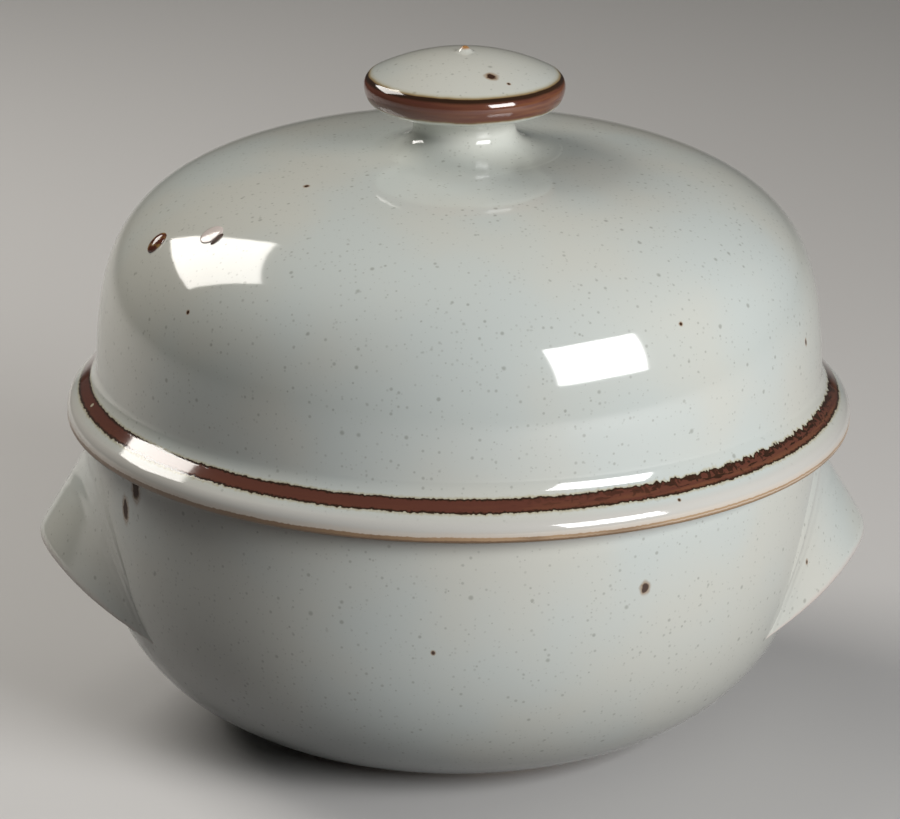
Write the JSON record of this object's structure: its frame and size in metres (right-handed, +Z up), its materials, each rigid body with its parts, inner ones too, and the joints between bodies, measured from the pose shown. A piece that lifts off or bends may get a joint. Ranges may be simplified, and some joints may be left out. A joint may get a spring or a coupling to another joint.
{
  "type": "casserole dish",
  "caption": "Round thrown stoneware casserole with side lugs, a trimmed foot ring and a tall domed lid with a rolled flange, locating collar and mushroom knob.",
  "frame": {"origin": "middle of the foot ring, on the surface that the dish stands on", "axes": "+Z up along the axis that the pieces were thrown on; the lugs lie along X"},
  "size_m": [0.2664, 0.25, 0.2203],
  "materials": {
    "dish_glaze": "glossy pale grey-green glaze with fine iron speckle, unglazed foot and lip",
    "lid_glaze": "glossy pale grey-green glaze with fine iron speckle and a painted iron-brown band at the foot of the dome",
    "knob_glaze": "glossy pale grey-green glaze with an iron-brown band round the edge"
  },
  "bodies": {
    "dish": {"dish_bowl": "dish_glaze", "lug_left": "dish_glaze", "lug_right": "dish_glaze"},
    "lid": {"lid_dome": "lid_glaze", "lid_knob": "knob_glaze"}
  },
  "joints": [
    {"name": "lid_lift", "type": "slide", "parent": "dish", "child": "lid", "axis": [0, 0, 1], "range_m": [0, 0.25]}
  ]
}
